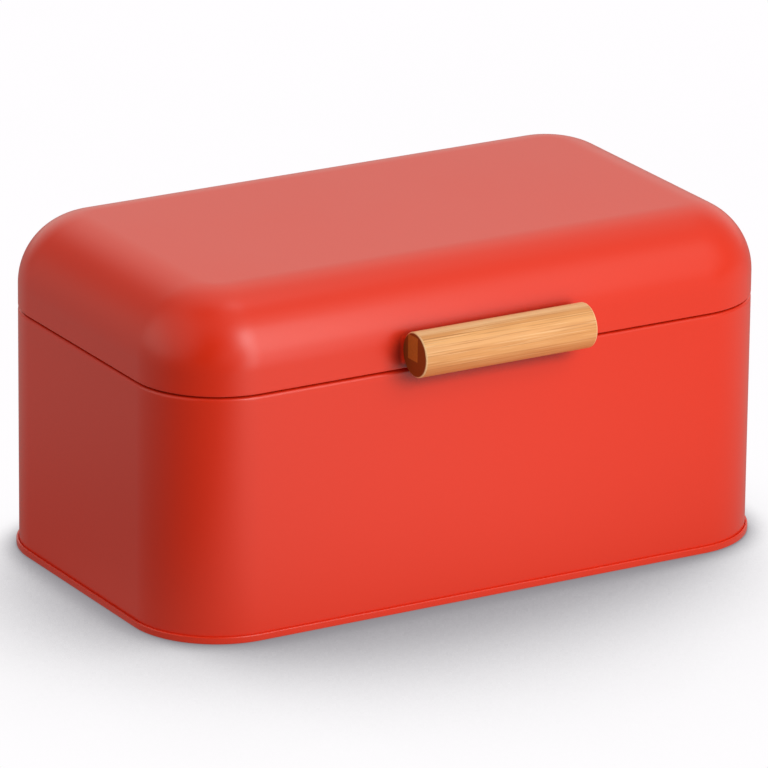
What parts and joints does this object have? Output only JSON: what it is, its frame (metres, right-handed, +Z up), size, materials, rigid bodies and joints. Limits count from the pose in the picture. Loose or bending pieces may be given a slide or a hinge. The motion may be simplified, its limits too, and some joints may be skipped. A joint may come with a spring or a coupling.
{
  "type": "bread box",
  "caption": "Rounded sheet-steel bread box with a seamed bottom rim, a hinged lid that lifts back past upright, and a round bamboo handle on the lid's front.",
  "frame": {"origin": "on the table, under the middle of the box's plan", "axes": "+X to the right along the long side, +Z up, the handle and the front at -Y, the hinges at +Y"},
  "size_m": [0.3056, 0.2032, 0.1524],
  "materials": {
    "red_coat": "satin powder coat",
    "bamboo": "clear matt varnish over laminated bamboo",
    "plated_steel": "bright zinc plate"
  },
  "bodies": {
    "body": {"side_wall": "red_coat", "bottom_pan": "red_coat", "hinge_left_body_leaf": "plated_steel", "hinge_left_pin": "plated_steel", "hinge_left_body_rivets": "plated_steel", "hinge_right_body_leaf": "plated_steel", "hinge_right_pin": "plated_steel", "hinge_right_body_rivets": "plated_steel"},
    "lid": {"lid_shell": "red_coat", "handle_bar": "bamboo", "handle_screw_left": "plated_steel", "handle_washer_left": "plated_steel", "hinge_left_lid_leaf": "plated_steel", "hinge_left_lid_rivets": "plated_steel", "handle_screw_right": "plated_steel", "handle_washer_right": "plated_steel", "hinge_right_lid_leaf": "plated_steel", "hinge_right_lid_rivets": "plated_steel"}
  },
  "joints": [
    {"name": "lid_hinge", "type": "hinge", "parent": "body", "child": "lid", "pos_m": [0, 0.09105, 0.1112], "axis": [-1, 0, 0], "range_deg": [0, 100]}
  ]
}
